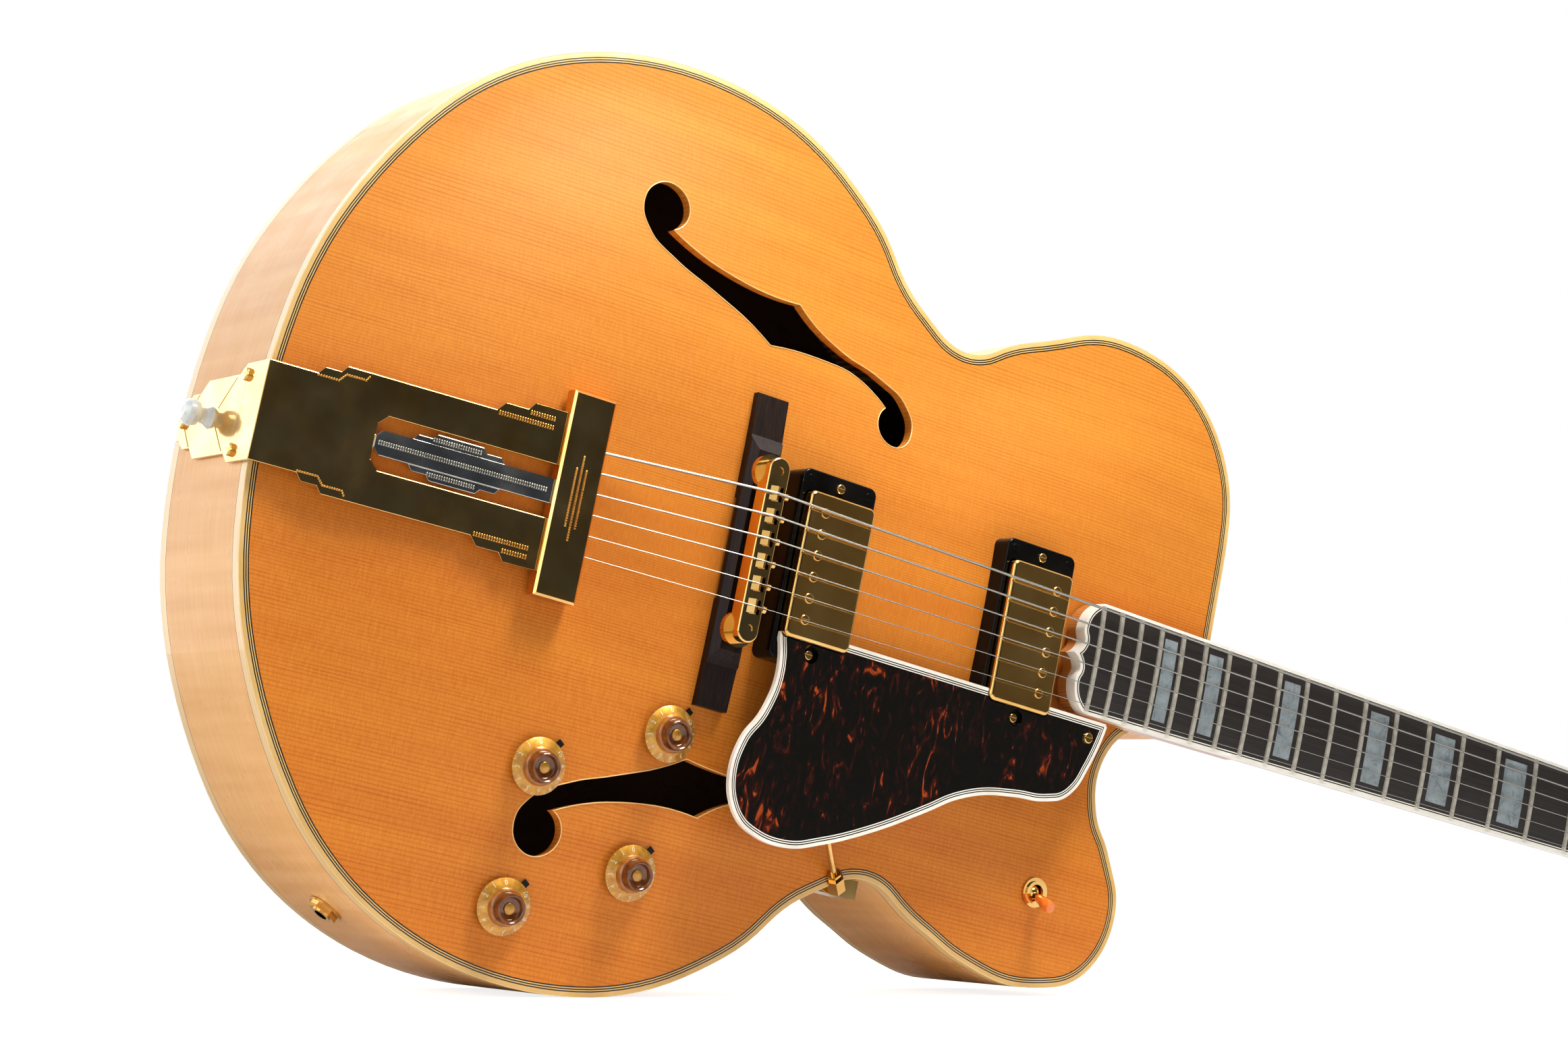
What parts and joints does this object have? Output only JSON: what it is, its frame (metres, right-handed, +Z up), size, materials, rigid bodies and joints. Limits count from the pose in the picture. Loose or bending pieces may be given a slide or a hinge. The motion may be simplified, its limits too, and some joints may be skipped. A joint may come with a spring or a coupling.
{
  "type": "archtop guitar",
  "caption": "Hollow arched-top electric guitar with a rounded cutaway, sound holes, pickups, floating bridge, stepped tailpiece, finger rest and geared tuners.",
  "frame": {"origin": "middle of the bounding box's base: the guitar stands on its treble side, on the lower bout and the last treble tuner button", "axes": "+X towards the headstock, +Y from the strings to the back, +Z up towards the bass side; the neck leans down towards the headstock by 11.2 degrees"},
  "size_m": [1.0528, 0.1422, 0.431],
  "materials": {
    "spruce": "honey coloured gloss lacquer over straight grain",
    "maple": "clear gloss lacquer",
    "inner_wood": "bare",
    "mahogany": "amber gloss lacquer",
    "ebony": "oiled",
    "cream": "gloss",
    "black": "gloss",
    "white": "gloss",
    "pearl": "pearly gloss",
    "tortoise": "mottled gloss",
    "amber": "clear gloss",
    "gold": "polished plating",
    "nickel": "polished plating",
    "steel": "plain wire and wrap",
    "bone": "satin",
    "lead": "matt"
  },
  "bodies": {
    "guitar": {"top_plate": "spruce", "back_plate": "maple", "rim": "maple", "end_blocks": "inner_wood", "linings": "inner_wood", "tone_bars": "inner_wood", "top_binding": "cream", "top_purfling": "black", "back_binding": "cream", "neck": "mahogany", "heel_cap": "cream", "headstock_overlay": "ebony", "fingerboard": "ebony", "fingerboard_binding": "white", "position_inlays": "pearl", "frets": "nickel", "nut": "bone", "truss_rod_cover": "black", "tuner_cases": "gold", "tuner_bushes": "gold", "bridge_base": "ebony", "bridge_posts": "gold", "tailpiece_frame": "gold", "tailpiece_insert": "nickel", "tailpiece_crossbar": "gold", "strings": "steel", "pickup_rings": "black", "finger_rest": "tortoise", "finger_rest_binding": "white", "finger_rest_bracket": "gold", "potentiometers": "nickel", "selector_switch": "gold", "output_jack": "gold", "strap_button": "pearl", "wiring": "lead", "gold_screws": "gold", "ring_screws": "black"},
    "control_knob_1": {"control_knob_1": "amber"},
    "control_knob_2": {"control_knob_2": "amber"},
    "control_knob_3": {"control_knob_3": "amber"},
    "control_knob_4": {"control_knob_4": "amber"},
    "selector_lever": {"selector_lever": "amber"},
    "tuner_button_1": {"tuner_button_1": "gold"},
    "tuner_post_1": {"tuner_post_1": "gold"},
    "tuner_button_2": {"tuner_button_2": "gold"},
    "tuner_post_2": {"tuner_post_2": "gold"},
    "tuner_button_3": {"tuner_button_3": "gold"},
    "tuner_post_3": {"tuner_post_3": "gold"},
    "tuner_button_4": {"tuner_button_4": "gold"},
    "tuner_post_4": {"tuner_post_4": "gold"},
    "tuner_button_5": {"tuner_button_5": "gold"},
    "tuner_post_5": {"tuner_post_5": "gold"},
    "tuner_button_6": {"tuner_button_6": "gold"},
    "tuner_post_6": {"tuner_post_6": "gold"},
    "bridge_bar": {"bridge_bar": "gold", "saddles": "gold"},
    "bass_thumbwheel": {"bass_thumbwheel": "gold"},
    "treble_thumbwheel": {"treble_thumbwheel": "gold"},
    "bridge_pickup": {"bridge_pickup": "gold"},
    "neck_pickup": {"neck_pickup": "gold"}
  },
  "joints": [
    {"name": "control_knob_1_turn", "type": "hinge", "parent": "guitar", "child": "control_knob_1", "pos_m": [-0.37548, -0.04304, 0.10309], "axis": [-0.0465, -0.9944, -0.0948], "range_deg": [-300, 0]},
    {"name": "control_knob_2_turn", "type": "hinge", "parent": "guitar", "child": "control_knob_2", "pos_m": [-0.31012, -0.04511, 0.11958], "axis": [0.015, -0.9971, -0.0753], "range_deg": [-300, 0]},
    {"name": "control_knob_3_turn", "type": "hinge", "parent": "guitar", "child": "control_knob_3", "pos_m": [-0.386, -0.0344, 0.04084], "axis": [-0.0419, -0.9912, -0.1259], "range_deg": [-300, 0]},
    {"name": "control_knob_4_turn", "type": "hinge", "parent": "guitar", "child": "control_knob_4", "pos_m": [-0.32413, -0.03764, 0.0567], "axis": [0.024, -0.9882, -0.1515], "range_deg": [-300, 0]},
    {"name": "selector_throw", "type": "hinge", "parent": "guitar", "child": "selector_lever", "pos_m": [-0.09492, -0.03274, 0.05057], "axis": [0.9802, 0.0417, -0.1935], "range_deg": [-40, 0]},
    {"name": "tuner_button_1_turn", "type": "hinge", "parent": "guitar", "child": "tuner_button_1", "pos_m": [0.41047, 0.00851, 0.09464], "axis": [0.1947, 0, 0.9809], "continuous": true},
    {"name": "tuner_post_1_turn", "type": "hinge", "parent": "guitar", "child": "tuner_post_1", "pos_m": [0.41025, -0.01336, 0.09468], "axis": [0.2868, -0.9563, -0.0569], "continuous": true},
    {"name": "tuner_button_2_turn", "type": "hinge", "parent": "guitar", "child": "tuner_button_2", "pos_m": [0.4508, 0.02108, 0.08663], "axis": [0.1947, 0, 0.9809], "continuous": true},
    {"name": "tuner_post_2_turn", "type": "hinge", "parent": "guitar", "child": "tuner_post_2", "pos_m": [0.45059, -0.00078, 0.08667], "axis": [0.2868, -0.9563, -0.0569], "continuous": true},
    {"name": "tuner_button_3_turn", "type": "hinge", "parent": "guitar", "child": "tuner_button_3", "pos_m": [0.49113, 0.03366, 0.07863], "axis": [0.1947, 0, 0.9809], "continuous": true},
    {"name": "tuner_post_3_turn", "type": "hinge", "parent": "guitar", "child": "tuner_post_3", "pos_m": [0.49092, 0.01179, 0.07867], "axis": [0.2868, -0.9563, -0.0569], "continuous": true},
    {"name": "tuner_button_4_turn", "type": "hinge", "parent": "guitar", "child": "tuner_button_4", "pos_m": [0.38796, 0.00465, 0.04609], "axis": [-0.1947, 0, -0.9809], "continuous": true},
    {"name": "tuner_post_4_turn", "type": "hinge", "parent": "guitar", "child": "tuner_post_4", "pos_m": [0.40013, -0.01336, 0.04367], "axis": [0.2868, -0.9563, -0.0569], "continuous": true},
    {"name": "tuner_button_5_turn", "type": "hinge", "parent": "guitar", "child": "tuner_button_5", "pos_m": [0.4283, 0.01723, 0.03808], "axis": [-0.1947, 0, -0.9809], "continuous": true},
    {"name": "tuner_post_5_turn", "type": "hinge", "parent": "guitar", "child": "tuner_post_5", "pos_m": [0.44047, -0.00078, 0.03567], "axis": [0.2868, -0.9563, -0.0569], "continuous": true},
    {"name": "tuner_button_6_turn", "type": "hinge", "parent": "guitar", "child": "tuner_button_6", "pos_m": [0.46863, 0.0298, 0.03008], "axis": [-0.1947, 0, -0.9809], "continuous": true},
    {"name": "tuner_post_6_turn", "type": "hinge", "parent": "guitar", "child": "tuner_post_6", "pos_m": [0.4808, 0.01179, 0.02766], "axis": [0.2868, -0.9563, -0.0569], "continuous": true},
    {"name": "bridge_lift", "type": "slide", "parent": "guitar", "child": "bridge_bar", "axis": [0, -1, 0], "range_m": [-0.0005, 0.002], "deforming": ["strings"]},
    {"name": "bass_thumbwheel_turn", "type": "hinge", "parent": "bridge_bar", "child": "bass_thumbwheel", "pos_m": [-0.26788, -0.05847, 0.24047], "axis": [0, -1, 0], "range_deg": [-226, 901]},
    {"name": "treble_thumbwheel_turn", "type": "hinge", "parent": "bridge_bar", "child": "treble_thumbwheel", "pos_m": [-0.28229, -0.05847, 0.16789], "axis": [0, -1, 0], "range_deg": [-226, 901]},
    {"name": "bridge_pickup_lift", "type": "slide", "parent": "guitar", "child": "bridge_pickup", "axis": [0.0513, -0.9986, -0.0102], "range_m": [-0.002, 0.0006]},
    {"name": "neck_pickup_lift", "type": "slide", "parent": "guitar", "child": "neck_pickup", "axis": [0.0513, -0.9986, -0.0102], "range_m": [-0.002, 0.0006]}
  ],
  "couplings": [
    {"joint": "tuner_post_1_turn", "follows": "tuner_button_1_turn", "ratio": 0.0625},
    {"joint": "tuner_post_2_turn", "follows": "tuner_button_2_turn", "ratio": 0.0625},
    {"joint": "tuner_post_3_turn", "follows": "tuner_button_3_turn", "ratio": 0.0625},
    {"joint": "tuner_post_4_turn", "follows": "tuner_button_4_turn", "ratio": 0.0625},
    {"joint": "tuner_post_5_turn", "follows": "tuner_button_5_turn", "ratio": 0.0625},
    {"joint": "tuner_post_6_turn", "follows": "tuner_button_6_turn", "ratio": 0.0625},
    {"joint": "bass_thumbwheel_turn", "follows": "bridge_lift", "rad_per_m": 7854},
    {"joint": "treble_thumbwheel_turn", "follows": "bridge_lift", "rad_per_m": 7854}
  ]
}
